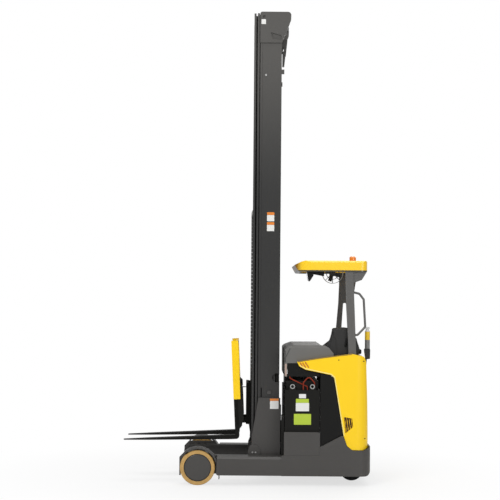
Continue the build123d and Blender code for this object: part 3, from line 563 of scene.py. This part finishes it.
def body_trim():
    # three slashes, a line of painted shade along the yellow body's top edge, and a painted highlight along
    # its front and lower edge
    for index, (x, z, length, lean) in enumerate(SLASHES):
        sticker(f"body_slash_{index + 1}", "body_shell", SLASH_ORANGE, (x, BODY_Y + SUNK, z),
                (0.014, length), turn=(math.pi / 2, -lean, 0), corner=0.002)
    line("body_edge_top", "body_shell", EDGE_PAINTED_SHADE,
         ((0.503, 1.214), (0.721, 1.250), (0.917, 1.277), (1.034, 1.291)), 0.007, BODY_Y)
    line("body_edge_front", "body_shell", EDGE_PAINTED_HIGHLIGHT,
         ((0.524, 1.180), (0.582, 1.148), (0.834, 1.096), (0.866, 1.068), (0.963, 0.495)), 0.008, BODY_Y)


def bay_seal():
    # rubber strip that closes the gap between the battery and the side panel
    label("bay_seal", "side_panel_left", FINISHES["black_plastic"], (0.7245, 0.760), (0.53, 1.06), SEAL_Y)


def hood_trim():
    # pale strip on the hood's front flange, and the forked seam above it
    label("hood_strip", "console_hood", STRIP_BEIGE, (0.379, 0.398), (1.075, 1.193), HOOD_Y, corner=0.002)
    line("hood_seam_front", "console_hood", SEAM_DARK,
         ((0.381, 1.322), (0.388, 1.272), (0.383, 1.205)), 0.006, HOOD_Y)
    line("hood_seam_branch", "console_hood", SEAM_DARK, ((0.430, 1.345), (0.391, 1.262)), 0.006, HOOD_Y)


def mast_labels():
    # blank labels on the carriage plate, the outer mast and the mast head
    span_x = (0.239, 0.324)
    label("carriage_label", "reach_carriage", LABEL_WHITE, span_x, (0.735, 0.814), CARRIAGE_PLATE_Y)
    label("carriage_label_head", "reach_carriage", LABEL_ORANGE, span_x, (0.815, 0.838), CARRIAGE_PLATE_Y)
    span_x = (0.196, 0.268)
    for index, z in enumerate((2.600, 2.502)):
        label(f"mast_label_{index + 1}", "outer_mast", LABEL_WHITE, span_x, (z, z + 0.062), MAST_WEB_Y)
        label(f"mast_label_head_{index + 1}", "outer_mast", LABEL_ORANGE, span_x, (z + 0.063, z + 0.090),
              MAST_WEB_Y)
    label("mast_head_label", "mast_head", LABEL_WHITE, (0.126, 0.170), (4.560, 4.608), MAST_HEAD_Y)
    line("mast_web_joint", "outer_mast", SEAM_DARK, ((0.139, 0.981), (0.330, 0.981)), 0.004, MAST_WEB_Y)


# name, node, slot, places (x, z), face, radius, height, sides
FASTENERS = (
    ("roller_plate_bolts", "reach_carriage", "steel", ((0.069, 0.305), (0.099, 0.305)), ROLLER_PLATE_Y,
     0.010, 0.008, 6),
    ("mast_boss", "outer_mast", "grey_paint", ((0.229, 0.897),), MAST_WEB_Y, 0.020, 0.014, 32),
    ("mast_stop_bolt", "outer_mast", "steel", ((0.174, 4.056),), MAST_WEB_Y, 0.012, 0.008, 6),
    ("body_screws", "body_shell", "black_paint", ((0.905, 1.235), (1.150, 1.225), (1.165, 0.470)), BODY_Y,
     0.006, 0.003, 24),
)


def fasteners():
    for name, on, slot, places, y, radius, height, sides in FASTENERS:
        bolts(name, on, FINISHES[slot], places, y, radius, height, sides)


def operator_controls():
    # the seat's adjusting knob, and three finger levers ahead of the armrest
    black = FINISHES["black_plastic"]
    rod("seat_knob", "seat_back", black, (0.973, SEAT_KNOB_Y, 1.362), (0.988, SEAT_KNOB_Y, 1.446), 0.009,
        tip=1.25)
    for index, y in enumerate((-0.430, -0.400, -0.370)):
        rod(f"finger_lever_{index + 1}", "armrest", black, (1.108, y, 1.360), (1.094, y, 1.394), 0.006,
            tip=1.5)


def lamp_glass():
    # lens on the lamp's slanted front
    sticker("work_lamp_lens", "work_lamp", FINISHES["lamp_lens"], (0.5975, -0.525, 2.0515), (0.082, 0.058),
            turn=(0, -math.pi / 2 - LAMP_FRONT_LEAN, 0), thick=0.006, corner=0.008)


# Seat cushions, blown up from the solids that hold their place
CUSHION_VOXEL = 0.007
CUSHION_PRESSURE = 4.0
CUSHION_FRAMES = 20


def cushion(name, node, shrink, cap, grooves, face):
    """A sewn cushion: the node's solid made smaller, blown up as cloth, then pulled in along its seams.

    grooves are polylines on the cushion's open face, and face is the axis that it looks along and its sign.
    """
    low, high = (Vector(corner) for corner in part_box(node))
    middle, size = (low + high) / 2, high - low
    piece = bpy.data.objects.new(name, NODES[node].data.copy())
    bpy.context.scene.collection.objects.link(piece)
    for vertex in piece.data.vertices:
        for axis in range(3):
            offset = vertex.co[axis] - middle[axis]
            vertex.co[axis] = middle[axis] + offset * (1 - 2 * shrink / size[axis])
    bpy.ops.object.select_all(action="DESELECT")
    piece.select_set(True)
    bpy.context.view_layer.objects.active = piece
    piece.data.remesh_voxel_size = CUSHION_VOXEL
    bpy.ops.object.voxel_remesh()
    blow_up(piece, cap)
    smoother = piece.modifiers.new("finer", "SUBSURF")
    smoother.levels = smoother.render_levels = 1
    bpy.ops.object.modifier_apply(modifier=smoother.name)
    sew(piece, grooves, face)
    keep_inside(piece, low, high)
    finished(piece, name, node, FINISHES["seat_vinyl"], angle=60)
    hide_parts(node)


def blow_up(piece, cap):
    # pressure from inside, with no point moved further than the cap
    start = [vertex.co.copy() for vertex in piece.data.vertices]
    cloth = piece.modifiers.new("blown up", "CLOTH")
    cloth.settings.use_pressure = True
    cloth.settings.uniform_pressure_force = CUSHION_PRESSURE
    cloth.settings.effector_weights.gravity = 0
    cloth.point_cache.frame_start = 1
    cloth.point_cache.frame_end = CUSHION_FRAMES
    for step in range(1, CUSHION_FRAMES + 1):
        bpy.context.scene.frame_set(step)
    bpy.ops.object.modifier_apply(modifier=cloth.name)
    for vertex, old in zip(piece.data.vertices, start):
        moved = vertex.co - old
        if moved.length > cap:
            vertex.co = old + moved * (cap / moved.length)
    bpy.context.scene.frame_set(1)


def sew(piece, grooves, face, width=0.009, depth=0.010):
    # press the open face in along its grooves
    axis, sign = face
    flat = [other for other in range(3) if other != axis]
    seams = [(Vector(a), Vector(b)) for groove in grooves for a, b in zip(groove, groove[1:])]
    open_side = [vertex.index for vertex in piece.data.vertices if vertex.normal[axis] * sign > 0.2]
    for index in open_side:
        vertex = piece.data.vertices[index]
        point = Vector((vertex.co[flat[0]], vertex.co[flat[1]]))
        nearest = min(distance(point, a, b) for a, b in seams)
        vertex.co[axis] -= sign * depth * math.exp(-((nearest / width) ** 2))


def distance(point, a, b):
    along = b - a
    share = max(0.0, min(1.0, (point - a).dot(along) / along.length_squared))
    return (point - a - along * share).length


def keep_inside(piece, low, high, spare=0.004):
    # flat where it rests, and never further out than the solid that holds its place
    for vertex in piece.data.vertices:
        for axis in range(3):
            vertex.co[axis] = min(max(vertex.co[axis], low[axis] - spare * (axis < 2)), high[axis] + spare)


def seat_cushions():
    cushion("seat_pan_cushion", "seat_pan", 0.012, 0.022,
            (((0.80, -0.330), (1.13, -0.330)), ((0.80, -0.145), (1.13, -0.145))), (2, 1))
    cushion("seat_back_cushion", "seat_back", 0.010, 0.020,
            (((0.800, 1.560), (0.842, 1.487), (0.877, 1.428), (0.892, 1.310), (0.880, 1.100)),), (1, -1))


def make_floor():
    # white where the camera sees it, apart from a share of the shadow under the truck
    bpy.ops.mesh.primitive_plane_add(size=2 * FLOOR_HALF)
    floor = bpy.context.object
    floor.name = "floor"
    finish = Finish("floor_white")
    seen = finish.node("ShaderNodeLightPath", {}, {}, output="Is Camera Ray")
    lit = finish.node("ShaderNodeBsdfPrincipled", {}, {"Base Color": (0.86, 0.86, 0.86, 1), "Roughness": 0.75})
    white = finish.node("ShaderNodeEmission", {}, {"Color": (1, 1, 1, 1), "Strength": 1.0})
    away = finish.length(finish.place()).above(FLOOR_WHITE_FROM, FLOOR_WHITE_OVER)
    whiteness = away * (1 - FLOOR_WHITE_NEAR) + FLOOR_WHITE_NEAR
    shader = finish.node("ShaderNodeMixShader", {}, {0: whiteness * seen, 1: lit, 2: white})
    finish.node_output(shader)
    floor.data.materials.append(finish.material)


def make_world():
    # the camera sees white, and the truck is lit by a dimmer sky
    world = bpy.data.worlds.new("studio")
    world.use_nodes = True
    tree = world.node_tree
    tree.nodes.clear()
    path = tree.nodes.new("ShaderNodeLightPath")
    seen = tree.nodes.new("ShaderNodeMath")
    seen.operation = "MAXIMUM"
    tree.links.new(path.outputs["Is Camera Ray"], seen.inputs[0])
    tree.links.new(path.outputs["Is Transmission Ray"], seen.inputs[1])
    glow = tree.nodes.new("ShaderNodeBackground")
    glow.inputs["Strength"].default_value = SKY_GLOW
    backdrop = tree.nodes.new("ShaderNodeBackground")
    backdrop.inputs["Color"].default_value = (1, 1, 1, 1)
    mix = tree.nodes.new("ShaderNodeMixShader")
    tree.links.new(seen.outputs[0], mix.inputs[0])
    tree.links.new(glow.outputs[0], mix.inputs[1])
    tree.links.new(backdrop.outputs[0], mix.inputs[2])
    output = tree.nodes.new("ShaderNodeOutputWorld")
    tree.links.new(mix.outputs[0], output.inputs["Surface"])
    bpy.context.scene.world = world


# name, place, size, power
LAMPS = (
    ("key", (-4.0, -7.5, 7.0), 4.0, 420),
    ("front", (4.5, -8.0, 3.0), 4.0, 160),
    ("top", (0.5, 0.5, 9.0), 5.0, 260),
    ("back", (3.0, 7.0, 5.0), 4.0, 160),
)


def make_lamps():
    for name, place, size, power in LAMPS:
        lamp = bpy.data.lights.new(name, "AREA")
        lamp.size = size
        lamp.energy = power
        holder = bpy.data.objects.new(name, lamp)
        holder.location = place
        holder.rotation_euler = (MAST_MIDDLE - Vector(place)).to_track_quat("-Z", "Y").to_euler()
        bpy.context.scene.collection.objects.link(holder)


def make_camera():
    camera = bpy.data.cameras.new("camera")
    camera.lens = CAMERA_LENS
    camera.shift_y = CAMERA_SHIFT_Y
    holder = bpy.data.objects.new("camera", camera)
    holder.location = CAMERA_PLACE
    holder.rotation_euler = (math.radians(90), CAMERA_ROLL, 0)
    bpy.context.scene.collection.objects.link(holder)
    bpy.context.scene.camera = holder


finish_cad_nodes()
battery_labels()
bay_seal()
body_trim()
hood_trim()
mast_labels()
fasteners()
operator_controls()
lamp_glass()
seat_cushions()
make_floor()
make_world()
make_lamps()
make_camera()
bpy.context.scene.view_settings.view_transform = "Standard"
